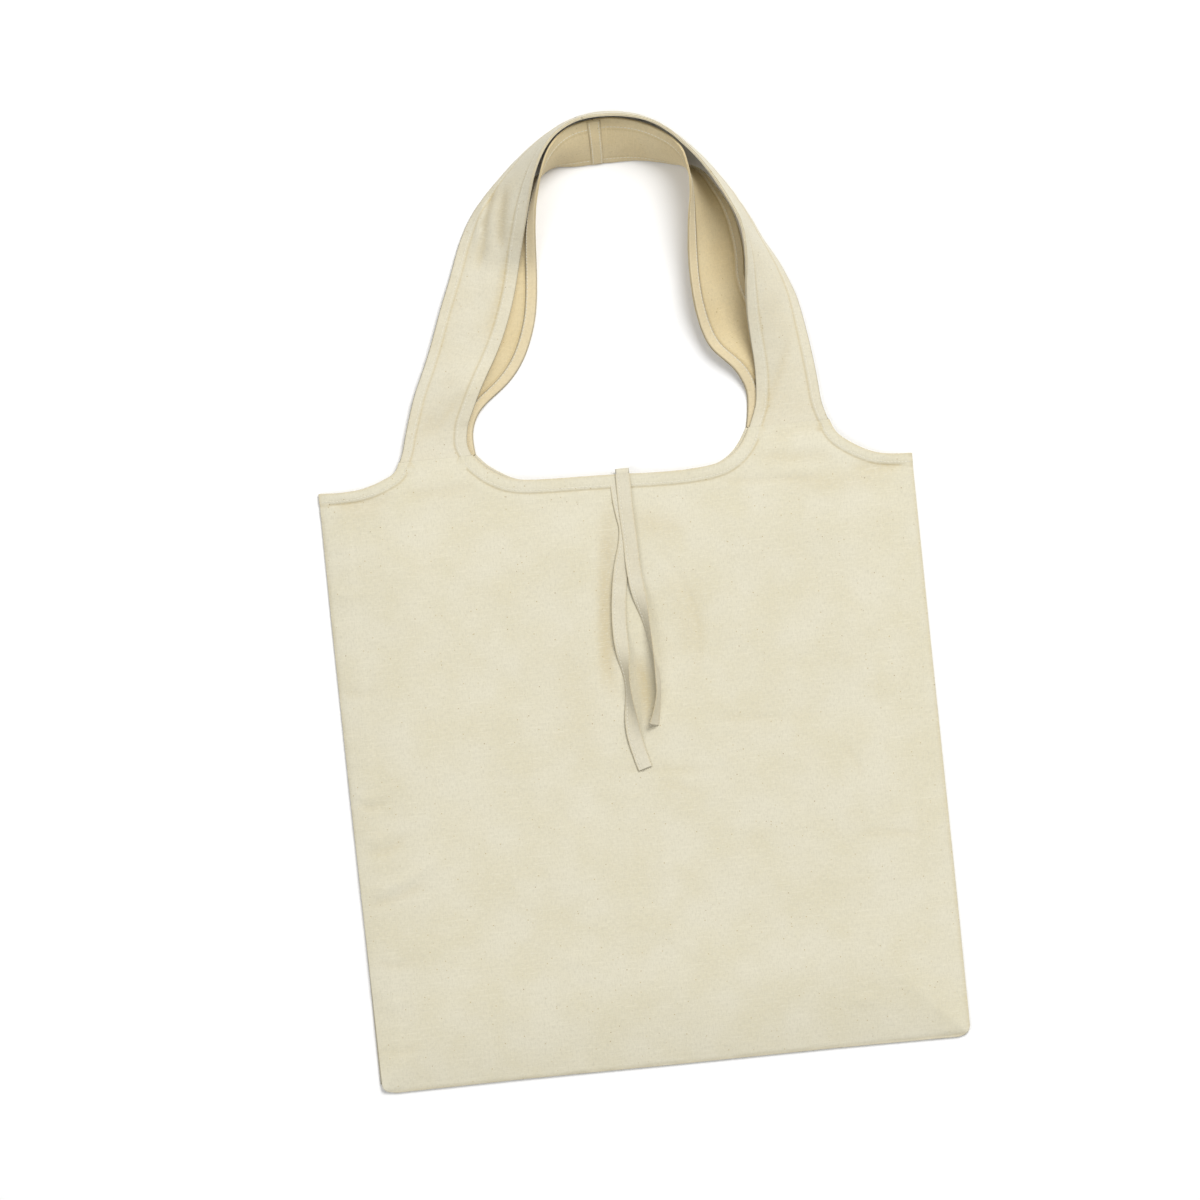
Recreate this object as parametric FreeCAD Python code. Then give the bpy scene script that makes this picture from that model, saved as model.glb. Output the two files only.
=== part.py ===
"""Foldable cotton tote bag, lying flat on its back with both loops pulled up.

Millimetres. +X runs across the bag, +Y from its bottom towards the loops, +Z up
off the surface it lies on. The origin is under the middle of the whole outline.
"""
import FreeCAD, Part

import math
import os

V = FreeCAD.Vector

# --- driving dimensions -------------------------------------------------------
BODY_WIDTH = 400.0        # across the side seams
BODY_BOTTOM = -322.0      # y of the bottom edge
ARMHOLE_Y = 80.0          # y of the top of the side seams
NECK_Y = 77.0             # y of the straight neckline
STRAP_BASE_Y = 108.0      # y where the loops hinge on the body
FOLD_Y = -188.0           # y of the line where the bottom third folds up

CLOTH = 0.8               # one layer with its lie
HEM = 1.5                 # folded hem, three layers
SEAM = 2.4                # two panels with their turned allowances
SEAM_WIDTH = 6.0
NECK_HEM = 8.0            # width of the neckline hem
EDGE_HEM = 6.5            # width of the armhole and outer strap hems
STRAP_WIDTH = 43.0
GAP = 0.3                 # clearance between pieces that move apart

SHOULDER_X, SHOULDER_RX = 168.0, 25.0   # where the armhole turns up, and how far in
NECK_X, NECK_RX = 58.0, 38.0            # where the neckline turns up, and how far out

FRONT_REST = 1.6          # height of the front cloth at the seams
CROWN = 7.0               # how far the slack front panel stands above that
CROWN_ACROSS = ((0.0, 1.0), (135.0, 1.0), (194.0, 0.0))
CROWN_ALONG = ((-316.0, 0.0), (-255.0, 1.0), (20.0, 1.0), (69.0, 0.72),
               (77.0, 0.66), (108.0, 0.2))

TIE_WIDTH = 9.4
TIE_THICK = 1.2
FRONT_TIE_Z = 9.8         # underside of the lower tie
BACK_TIE_Z = FRONT_TIE_Z + TIE_THICK + GAP
TIE_HINGE_Y = NECK_Y + 0.6
TACK_LENGTH = 3.0         # stitched end of the lower tie
ROOT_LENGTH = 7.0         # stitched end of the upper tie, on the back hem

# Plan routes of the ties, from their roots to their ends
FRONT_TIE = ((-3, 68.5), (-1, 48), (0, 22), (-10, -10), (-12, -48), (-9, -88), (1, -121))
BACK_TIE = ((6, 77.2), (5.5, 52), (6, 26), (9, -4), (10, -36), (12.5, -66), (7, -95))

# Loop stations: (inner edge x, y), (outer edge x, y), lift of the outer edge.
# The strap keeps its width, so its inner edge stands up by what the plan lacks.
LIFT = HEM / 2
BACK_LEFT = (
    ((-96, 108.15), (-143, 108.15), LIFT),
    ((-89, 124), (-132, 130), LIFT),
    ((-76, 138), (-115, 156), LIFT),
    ((-59, 154), (-99, 170), LIFT),
    ((-48, 174), (-90, 183), LIFT),
    ((-41, 198), (-84, 203), LIFT),
    ((-38, 222), (-80.8, 221), LIFT),
    ((-37, 244), (-74, 240), LIFT),
    ((-34, 266), (-59, 262), LIFT),
    ((-30, 280), (-42, 276), LIFT),
    ((-23, 293), (-26, 286), LIFT),
    ((-8, 307), (-13, 287), LIFT),
    ((9, 313), (9, 286.5), LIFT))
BACK_RIGHT = (
    ((96, 108.15), (143, 108.15), LIFT),
    ((94, 122), (137, 127), LIFT),
    ((89, 136), (128, 147), LIFT),
    ((77, 149), (115, 165), LIFT),
    ((68, 165), (107, 181), LIFT),
    ((64.5, 187), (103, 196), LIFT),
    ((64, 213), (100, 215), LIFT),
    ((65, 236), (97, 238), LIFT),
    ((67, 256), (88, 256), LIFT),
    ((68, 271), (77, 273), LIFT),
    ((64, 286), (64, 279), LIFT),
    ((54, 298), (51, 283), LIFT),
    ((38, 308), (37, 285.5), LIFT),
    ((9, 313), (9, 286.5), LIFT))
FRONT_LIFT = 3.4
FRONT_LEFT = (
    ((-96, 108.15), (-143, 108.15), FRONT_LIFT),
    ((-93.5, 124), (-135.5, 133), FRONT_LIFT),
    ((-82.5, 143), (-122, 157.5), FRONT_LIFT),
    ((-72, 166), (-111.5, 181), FRONT_LIFT),
    ((-61, 190), (-100.5, 205), 3.0),
    ((-54, 212), (-93, 229), 2.2),
    ((-48, 238), (-84, 251), LIFT),
    ((-44, 262), (-70, 270), LIFT),
    ((-38, 281), (-54, 288), LIFT),
    ((-31, 295), (-37, 301), LIFT),
    ((-16, 311), (-19, 313), LIFT),
    ((-1, 318.6), (-1, 320.4), LIFT))
FRONT_RIGHT = (
    ((96, 108.15), (143, 108.15), FRONT_LIFT),
    ((99, 120), (143, 121), FRONT_LIFT),
    ((100.5, 136), (142, 134), FRONT_LIFT),
    ((100, 154), (140, 153), 2.4),
    ((100, 174), (137, 172), 1.6),
    ((101.5, 192), (132, 191), LIFT),
    ((104, 209), (125, 207), LIFT),
    ((104.5, 222), (117, 222), LIFT),
    ((102.5, 238), (109, 239), LIFT),
    ((94, 257), (98, 259), LIFT),
    ((79, 280), (82, 283), LIFT),
    ((62, 300), (65, 302.5), LIFT),
    ((36, 316), (37, 318.5), LIFT),
    ((10, 319.5), (10, 321.2), LIFT),
    ((-1, 318.6), (-1, 320.4), LIFT))
JOIN_LENGTH = 9.0         # felled seam at the top of each loop


# --- small helpers ------------------------------------------------------------
def between(table, value):
    """Straight-line reading of a table of (place, value) in rising place."""
    if value <= table[0][0]:
        return table[0][1]
    for (a, fa), (b, fb) in zip(table, table[1:]):
        if value <= b:
            return fa + (fb - fa) * (value - a) / (b - a)
    return table[-1][1]


def front_height(x, y):
    """Underside of the slack front cloth over a plan point."""
    return FRONT_REST + CROWN * between(CROWN_ACROSS, abs(x)) * between(CROWN_ALONG, y)


def flat_height(x, y):
    """Underside of the back cloth, which lies on the surface."""
    return 0.0


def loft(sections):
    """Straight-sided solid through closed polygons with equal corner counts."""
    solid = Part.makeLoft([Part.makePolygon(s + [s[0]]) for s in sections], True, True)
    if solid.Volume < 0:
        solid.reverse()
    return solid


def box(x0, x1, y0, y1, z0, z1):
    return Part.makeBox(x1 - x0, y1 - y0, z1 - z0, V(x0, y0, z0))


def save(shape, name):
    solids = shape.Solids
    assert solids and all(s.isValid() and s.Volume > 0 for s in solids), name
    shape.exportStep("parts/%s.step" % name)


# --- flat and crowned cloth ---------------------------------------------------
def strip(edge_a, edge_b, height, thick):
    """Cloth between two plan edges, lying at height(x, y)."""
    sections = []
    for (ax, ay), (bx, by) in zip(edge_a, edge_b):
        za, zb = height(ax, ay), height(bx, by)
        sections.append([V(ax, ay, za), V(bx, by, zb), V(bx, by, zb + thick), V(ax, ay, za + thick)])
    return loft(sections)


def patches(columns, low, high, height):
    """Row of cloth patches side by side, between the lines low(x) and high(x)."""
    xs = [-x for x in reversed(columns)] + list(columns)
    found = []
    for a, b in zip(xs, xs[1:]):
        sections = []
        for x in (a, b):
            lower = [V(x, y, height(x, y)) for y in (low(x), high(x))]
            sections.append(lower + [p + V(0, 0, CLOTH) for p in reversed(lower)])
        found.append(loft(sections))
    return found


def level(y):
    return lambda x: y


def hem_line(x):
    """Top of a panel's cloth: the lower edges of the armhole and neckline hems."""
    low_side, low_neck = ARMHOLE_Y - EDGE_HEM, NECK_Y - NECK_HEM
    return between(((NECK_X, low_neck), (SHOULDER_X, low_side)), abs(x))


def corner(centre_x, rx, ry, sign, steps=6):
    """Quarter ellipse from the straight edge below its centre to the strap."""
    points = []
    for i in range(steps + 1):
        turn = math.pi / 2 * i / steps
        points.append((centre_x + sign * rx * math.sin(turn), STRAP_BASE_Y - GAP / 2 - ry * math.cos(turn)))
    return points


def shoulder_edges(side):
    """Plan edges across a strap stub: outer, hem line, hem line, inner."""
    shoulder_ry = STRAP_BASE_Y - GAP / 2 - ARMHOLE_Y
    neck_ry = STRAP_BASE_Y - GAP / 2 - NECK_Y
    outer = corner(side * SHOULDER_X, SHOULDER_RX, shoulder_ry, -side)
    outer_hem = corner(side * SHOULDER_X, SHOULDER_RX + EDGE_HEM, shoulder_ry + EDGE_HEM, -side)
    inner_hem = corner(side * NECK_X, NECK_RX + NECK_HEM, neck_ry + NECK_HEM, side)
    inner = corner(side * NECK_X, NECK_RX, neck_ry, side)
    return outer, outer_hem, inner_hem, inner


def body_upper(face, height):
    """Panel above the fold line, with its strap stubs and hems."""
    edge_x, crown_x, crown_y = CROWN_ACROSS[-1][0], CROWN_ACROSS[1][0], CROWN_ALONG[2][0]
    cloth = patches((crown_x, edge_x), level(FOLD_Y + GAP / 2), level(crown_y), height)
    cloth += patches((NECK_X, crown_x, SHOULDER_X, edge_x), level(crown_y), hem_line, height)
    for side, name in ((-1, "left"), (1, "right")):
        outer, outer_hem, inner_hem, inner = shoulder_edges(side)
        cloth.append(strip(outer_hem, inner_hem, height, CLOTH))
        end_x = side * edge_x
        save(strip([(end_x, ARMHOLE_Y)] + outer, [(end_x, ARMHOLE_Y - EDGE_HEM)] + outer_hem, height, HEM),
             "%s_armhole_hem_%s" % (face, name))
        save(strip(inner_hem, inner, height, HEM), "%s_neck_corner_hem_%s" % (face, name))
    save(Part.makeCompound(cloth), "%s_panel_upper" % face)
    low = NECK_Y - NECK_HEM
    save(strip([(-NECK_X, low), (NECK_X, low)], [(-NECK_X, NECK_Y), (NECK_X, NECK_Y)], height, HEM),
         "%s_neckline_hem" % face)


def body_lower(face, height):
    """Panel below the fold line."""
    edge_x, crown_x, crown_y = CROWN_ACROSS[-1][0], CROWN_ACROSS[1][0], CROWN_ALONG[1][0]
    columns = (crown_x, edge_x)
    cloth = patches(columns, level(BODY_BOTTOM + SEAM_WIDTH), level(crown_y), height)
    cloth += patches(columns, level(crown_y), level(FOLD_Y - GAP / 2), height)
    save(Part.makeCompound(cloth), "%s_panel_lower" % face)


def seams():
    """Turned side seams, split at the fold line, and the bottom seam."""
    half = BODY_WIDTH / 2
    for side, name in ((-1, "left"), (1, "right")):
        x0, x1 = sorted((side * half, side * (half - SEAM_WIDTH)))
        save(box(x0, x1, FOLD_Y + GAP / 2, ARMHOLE_Y, 0, SEAM), "side_seam_upper_%s" % name)
        save(box(x0, x1, BODY_BOTTOM, FOLD_Y - GAP / 2, 0, SEAM), "side_seam_lower_%s" % name)
    inside = half - SEAM_WIDTH
    save(box(-inside, inside, BODY_BOTTOM, BODY_BOTTOM + SEAM_WIDTH, 0, SEAM), "bottom_seam")


# --- loops --------------------------------------------------------------------
class Ribbon:
    """One strap half, as its two edges and the direction of its thickness."""

    def __init__(self, stations):
        self.inner, self.outer, self.normal = [], [], []
        for (ix, iy), (ox, oy), lift in stations:
            rise = math.sqrt(max(STRAP_WIDTH ** 2 - (ix - ox) ** 2 - (iy - oy) ** 2, 0.0))
            self.inner.append(V(ix, iy, lift + rise))
            self.outer.append(V(ox, oy, lift))
        middles = [(a + b) * 0.5 for a, b in zip(self.inner, self.outer)]
        last = len(middles) - 1
        for i, (a, b) in enumerate(zip(self.inner, self.outer)):
            along = middles[min(i + 1, last)] - middles[max(i - 1, 0)]
            self.normal.append((b - a).cross(along).normalize())

    def section(self, i, start, end, thick):
        a, b, n = self.inner[i], self.outer[i], self.normal[i] * (thick / 2)
        p, q = a + (b - a) * start, a + (b - a) * end
        return [p - n, q - n, q + n, p + n]

    def band(self, start, end, thick):
        """Lengthwise band, from one share of the width to another."""
        return loft([self.section(i, start, end, thick) for i in range(len(self.inner))])


def shorten(stations, length):
    """Take a length off the top end of a strap half."""
    (ia, oa, _), (ib, ob, lift) = stations[-2:]
    span = math.hypot(ia[0] - ib[0], ia[1] - ib[1])
    keep = 1 - length / span
    inner = tuple(a + (b - a) * keep for a, b in zip(ia, ib))
    outer = tuple(a + (b - a) * keep for a, b in zip(oa, ob))
    return stations[:-1] + ((inner, outer, lift),)


def loop(face, left, right):
    """One carrying loop: two hemmed strap halves and the seam that joins them."""
    trimmed = {"left": shorten(left, JOIN_LENGTH / 2), "right": shorten(right, JOIN_LENGTH / 2)}
    hem_in = NECK_HEM / STRAP_WIDTH
    hem_out = 1 - EDGE_HEM / STRAP_WIDTH
    ribbons = {name: Ribbon(stations) for name, stations in trimmed.items()}
    for name, ribbon in ribbons.items():
        save(ribbon.band(0.0, hem_in, HEM), "%s_inner_hem_%s" % (face, name))
        save(ribbon.band(hem_in, hem_out, CLOTH), "%s_strap_%s" % (face, name))
        save(ribbon.band(hem_out, 1.0, HEM), "%s_outer_hem_%s" % (face, name))
    middle = left[-1]
    join = Ribbon((trimmed["left"][-1], middle, trimmed["right"][-1]))
    for i, source in ((0, ribbons["left"]), (2, ribbons["right"])):
        normal = source.normal[-1]
        join.normal[i] = normal if normal.dot(join.normal[1]) > 0 else normal * -1
    save(join.band(0.0, 1.0, HEM), "%s_strap_join" % face)


# --- ties ---------------------------------------------------------------------
def tie_path(points, z):
    """Straight runs joined by tangent arcs, and the radius of each arc."""
    corners = [V(x, y, z) for x, y in points]
    edges, radii, start = [], [], corners[0]
    for a, b, c in zip(corners, corners[1:], corners[2:]):
        into, out = (b - a), (c - b)
        reach = 0.45 * min(into.Length, out.Length)
        half_turn = into.getAngle(out) / 2
        radii.append(reach / math.tan(half_turn))
        into.normalize()
        out.normalize()
        first, last = b - into * reach, b + out * reach
        bulge = b + (out - into).normalize() * (radii[-1] / math.cos(half_turn) - radii[-1])
        edges.append(Part.LineSegment(start, first).toShape())
        edges.append(Part.Arc(first, bulge, last).toShape())
        start = last
    edges.append(Part.LineSegment(start, corners[-1]).toShape())
    return Part.Wire(edges), radii


def tie(points, z, name):
    """Flat tape lying on the front of the bag."""
    path, radii = tie_path(points, z + TIE_THICK / 2)
    start = path.Edges[0]
    along = start.tangentAt(start.FirstParameter)
    across = along.cross(V(0, 0, 1)) * (TIE_WIDTH / 2)
    up = V(0, 0, TIE_THICK / 2)
    root = path.Vertexes[0].Point
    corners = [root - across - up, root + across - up, root + across + up, root - across + up]
    profile = Part.makePolygon(corners + corners[:1])
    solid = path.makePipeShell([profile], True, False, 1)
    print(name, "radii", [round(r) for r in radii], "length", round(path.Length, 1),
          "volume share", round(solid.Volume / (TIE_WIDTH * TIE_THICK * path.Length), 4))
    save(solid, name)


def tie_roots():
    """Sewn ends: a block on the front hem, and a tape from the back hem over it."""
    x = FRONT_TIE[0][0]
    half = TIE_WIDTH / 2
    hem_top = front_height(x, NECK_Y - NECK_HEM) + HEM
    y0 = NECK_Y - NECK_HEM
    block = box(x - half, x + half, y0, y0 + TACK_LENGTH, hem_top, FRONT_TIE_Z + TIE_THICK)
    save(block, "front_tie_tack")
    x = BACK_TIE[0][0]
    y1 = TIE_HINGE_Y + GAP
    foot = box(x - half, x + half, y1 - ROOT_LENGTH, y1 + TIE_THICK, HEM, HEM + TIE_THICK)
    rise = box(x - half, x + half, y1, y1 + TIE_THICK, HEM, BACK_TIE_Z + TIE_THICK - GAP)
    save(foot.fuse(rise).removeSplitter(), "back_tie_root")


def main():
    os.makedirs("parts", exist_ok=True)
    for face, height in (("back", flat_height), ("front", front_height)):
        body_upper(face, height)
        body_lower(face, height)
    seams()
    loop("back", BACK_LEFT, BACK_RIGHT)
    loop("front", FRONT_LEFT, FRONT_RIGHT)
    tie(FRONT_TIE, FRONT_TIE_Z, "front_tie")
    tie(BACK_TIE, BACK_TIE_Z, "back_tie")
    tie_roots()


main()
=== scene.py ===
"""Foldable cotton tote bag lying flat on its back, with its loops and ties as laid out.

Helpers work in millimetres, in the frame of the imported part: +X across the bag, +Y
from the bottom edge to the loops, +Z up. Meshes are made in metres.
"""
import math

import bpy
import numpy as np
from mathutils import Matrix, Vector
from mathutils.geometry import delaunay_2d_cdt


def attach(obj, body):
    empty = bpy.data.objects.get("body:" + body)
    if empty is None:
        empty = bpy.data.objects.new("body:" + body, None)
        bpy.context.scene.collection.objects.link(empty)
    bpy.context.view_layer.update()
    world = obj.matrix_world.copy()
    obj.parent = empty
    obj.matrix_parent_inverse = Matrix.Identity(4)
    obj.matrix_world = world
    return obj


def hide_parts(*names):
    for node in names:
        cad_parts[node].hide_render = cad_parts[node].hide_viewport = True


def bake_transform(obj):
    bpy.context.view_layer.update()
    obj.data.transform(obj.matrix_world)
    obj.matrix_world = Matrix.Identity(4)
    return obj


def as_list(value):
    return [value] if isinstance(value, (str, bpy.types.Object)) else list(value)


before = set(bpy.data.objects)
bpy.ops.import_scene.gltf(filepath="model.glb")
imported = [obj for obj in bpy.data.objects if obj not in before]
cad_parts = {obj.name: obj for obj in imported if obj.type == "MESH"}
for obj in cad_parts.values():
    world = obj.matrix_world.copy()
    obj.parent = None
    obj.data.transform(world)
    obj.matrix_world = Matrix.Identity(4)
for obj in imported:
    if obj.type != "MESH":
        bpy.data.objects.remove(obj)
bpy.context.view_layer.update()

MM = 0.001

# --- sizes, in millimetres ----------------------------------------------------
HALF_WIDTH = 200.0
CUT_Y = 100.0             # where the panels end and the strap ribbons go on
SPLIT_Y = 112.2           # where the front strap passes from one hinge to the next
CLOTH = 0.6               # thickness of one layer
TURNED = 0.75             # thickness that a hem's turned allowance adds
HEM_RISE = 0.48           # how far a hem stands up on the outer face
STITCH_GROOVE = 0.30      # how far the thread pulls it in
NECK_HEM, EDGE_HEM = 8.0, 6.5
STITCH_IN = 1.3           # thread row, in from the hem's fold step
STITCH_PITCH, STITCH_LENGTH = 2.4, 1.9
STITCH_SHAPE = ((0.0, 0.10), (0.12, 0.24), (0.5, 0.30), (0.88, 0.24), (1.0, 0.10))   # share, radius
STITCH_FLATNESS = 0.8
STRAP_WIDTH = 43.0
FRONT_EDGE_Z = 1.25       # underside of the front cloth at the side seams
SLACK = 7.1               # how far the front stands above that in the middle
SLACK_REACH = 62.0        # how far in from the seams it has risen by then
TIE_WIDTH, TIE_THICK = 9.4, 0.8
TIE_STITCH = 0.62         # where the stitches run, as a share of the half width
JOIN_WIDTH = 9.5
LOOP_TOP_Y = 270.0        # a loop's join is above this
# How far from a loop's end its strap starts to stand on edge, over what length it comes to
# stand, where it is clear of the panel, and where its waves are full
STAND_START, STAND_REACH, JOIN_REACH, WAVE_REACH = 10.0, 80.0, 26.0, 30.0
RIM_PAINTED_SHADE = 0.35         # golden shade painted on the rounded edges
FRAY_YARNS = 22
FOOT_Y = -322.0           # the bottom edge
SEAM_GAP = 0.06           # between the back cloth and the allowances on it
HEM_GAP, STRAP_HEM_GAP = 0.05, 0.04   # between the cloth and its turned hem
THREAD_LIFT = 0.02        # a stitch's middle, above the face that it lies on
GRID = 2.4
ROW = 1.5
RAISED_THREAD = HEM_RISE - STITCH_GROOVE + 0.08   # a stitch's middle, above the plain cloth

# Two bodies and where the cloth bends from one to the next, in metres along Y
BODY_FOLD = ("upper_body", "lower_body", -0.170, -0.206)
BACK_LOOP_BEND = ("upper_body", "back_loop", 0.1000, 0.1200)
FRONT_BASE_BEND = ("upper_body", "back_loop", 0.1000, 0.1115)
FRONT_LOOP_BEND = ("back_loop", "front_loop", 0.1130, 0.1280)
FRONT_TIE_BEND = ("upper_body", "front_tie_tape", 0.068, 0.035)
BACK_TIE_BEND = ("front_tie_tape", "back_tie_tape", 0.077, 0.060)

# The flat cloth, in metres
STRAP_CUT, STRAP_BASE_RUN = 0.050, 0.014
# The CAD nodes that a panel's hems stand for
HEM_NODES = {"neckline": ("neck_corner_hem_left", "neck_corner_hem_right", "neckline_hem"),
             "armhole_left": ("armhole_hem_left",), "armhole_right": ("armhole_hem_right",)}


# --- numbers ------------------------------------------------------------------
def ease(x):
    """0 below 0, 1 above 1, smooth between."""
    x = np.clip(x, 0.0, 1.0)
    return x * x * (3 - 2 * x)


def spline(knots, values, at):
    """Natural cubic spline through values at knots."""
    knots, values, at = (np.asarray(a, float) for a in (knots, values, at))
    h = np.diff(knots)
    n = len(knots)
    system, right = np.eye(n), np.zeros_like(values)
    for i in range(1, n - 1):
        system[i, i - 1:i + 2] = h[i - 1], 2 * (h[i - 1] + h[i]), h[i]
        right[i] = 6 * ((values[i + 1] - values[i]) / h[i] - (values[i] - values[i - 1]) / h[i - 1])
    bend = np.linalg.solve(system, right)
    i = np.clip(np.searchsorted(knots, at) - 1, 0, n - 2)
    shape = (-1,) + (1,) * (values.ndim - 1)
    past, left, gap = (v.reshape(shape) for v in (at - knots[i], knots[i + 1] - at, h[i]))
    return ((bend[i] * left ** 3 + bend[i + 1] * past ** 3) / (6 * gap)
            + (values[i] / gap - bend[i] * gap / 6) * left
            + (values[i + 1] / gap - bend[i + 1] * gap / 6) * past)


def lengths(points):
    """Distance along a line of points."""
    return np.concatenate([[0.0], np.cumsum(np.linalg.norm(np.diff(points, axis=0), axis=1))])


def curve(points, step):
    """Smooth line through given points, sampled about every step."""
    points = np.asarray(points, float)
    along = lengths(points)
    count = max(int(round(along[-1] / step)), 2)
    return spline(along, points, np.linspace(0, along[-1], count + 1))


def soften(values, rows):
    """Running average with a bell-shaped weight, rows wide."""
    reach = int(3 * rows)
    weight = np.exp(-0.5 * (np.arange(-reach, reach + 1) / rows) ** 2)
    return np.convolve(np.pad(values, reach, mode="edge"), weight / weight.sum(), mode="valid")


def straight(points, step):
    """Line through given points with straight runs between them."""
    points = np.asarray(points, float)
    along = lengths(points)
    at = np.linspace(0, along[-1], max(int(round(along[-1] / step)), 2) + 1)
    return np.stack([np.interp(at, along, points[:, k]) for k in range(2)], 1)


def noise(x, y, size, seed):
    """Repeatable smooth noise from -1 to 1, with features about size across."""
    x, y = np.asarray(x) / size, np.asarray(y) / size
    i, j = np.floor(x).astype(np.int64), np.floor(y).astype(np.int64)
    u, v = ease(x - i), ease(y - j)

    def lattice(a, b):
        h = (a * 374761393 + b * 668265263 + seed * 69069) & 0xFFFFFFFF
        h = ((h ^ (h >> 13)) * 1274126177) & 0xFFFFFFFF
        return ((h ^ (h >> 16)) & 0xFFFF) / 32767.5 - 1
    low = lattice(i, j) * (1 - u) + lattice(i + 1, j) * u
    high = lattice(i, j + 1) * (1 - u) + lattice(i + 1, j + 1) * u
    return low * (1 - v) + high * v


def fold_heights(x, y, folds):
    """Sum of ridges (+) and dips (-): (line of points, half width, height)."""
    total = np.zeros_like(x)
    for line, width, height in folds:
        line = curve(line, 4.0)
        best = np.full(x.shape, 1e9)
        share = np.zeros_like(x)
        for k, ((ax, ay), (bx, by)) in enumerate(zip(line, line[1:])):
            dx, dy = bx - ax, by - ay
            t = np.clip(((x - ax) * dx + (y - ay) * dy) / (dx * dx + dy * dy), 0, 1)
            gap = (x - ax - t * dx) ** 2 + (y - ay - t * dy) ** 2
            nearer = gap < best
            best = np.where(nearer, gap, best)
            share = np.where(nearer, (k + t) / (len(line) - 1), share)
        total += height * np.exp(-best / width ** 2) * ease(share * 3) * ease((1 - share) * 3)
    return total


# --- outlines and folds, in millimetres ---------------------------------------
FRONT_NECK = ((-94.8, 100), (-89, 93), (-80, 85.8), (-70, 81.2), (-58, 79.2), (-37, 78.2),
              (3.4, 76.8), (30, 75.6), (58, 76), (73.4, 79), (82.6, 84.6), (88.8, 91.5), (93.3, 100))
BACK_NECK = ((-92, 100), (-86, 93.2), (-77.5, 86.8), (-68, 81.6), (-57, 79), (-37, 78.1),
             (3.4, 77), (30, 75.4), (57, 75.7), (71.5, 78.9), (80.4, 85), (86.4, 92.2), (91, 100))
FRONT_ARM_RIGHT = ((200.3, 71.3), (184, 72.6), (173.6, 75.3), (160.8, 82.3), (150.9, 91.1), (147, 100))
BACK_ARM_RIGHT = ((200.3, 70.6), (184, 71.8), (171.5, 74.6), (158.6, 82.3), (146.5, 91.3), (141, 100))
FRONT_ARM_LEFT = ((-143.8, 100), (-147, 94), (-154.7, 89.3), (-168.7, 84.7), (-182.4, 83.3), (-199.8, 84))
BACK_ARM_LEFT = ((-141, 100), (-144.6, 93.6), (-153, 88.6), (-168, 84), (-182.4, 82.6), (-199.8, 83.2))
LEFT_SIDE = ((-199.9, 84), (-200, 0), (-199.4, -120), (-198.4, -220), (-197.6, -317))
RIGHT_SIDE = ((200.5, -316), (200.6, -200), (200.3, -60), (200.3, 71.3))
BOTTOM = ((-197.6, -317), (-196.8, -319.6), (-194, -321.4), (-188.4, -322.4), (-100, -321.8), (0, -322.3),
          (110, -322.2), (192, -323), (196.6, -322), (199.6, -319.4), (200.5, -316))

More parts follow.
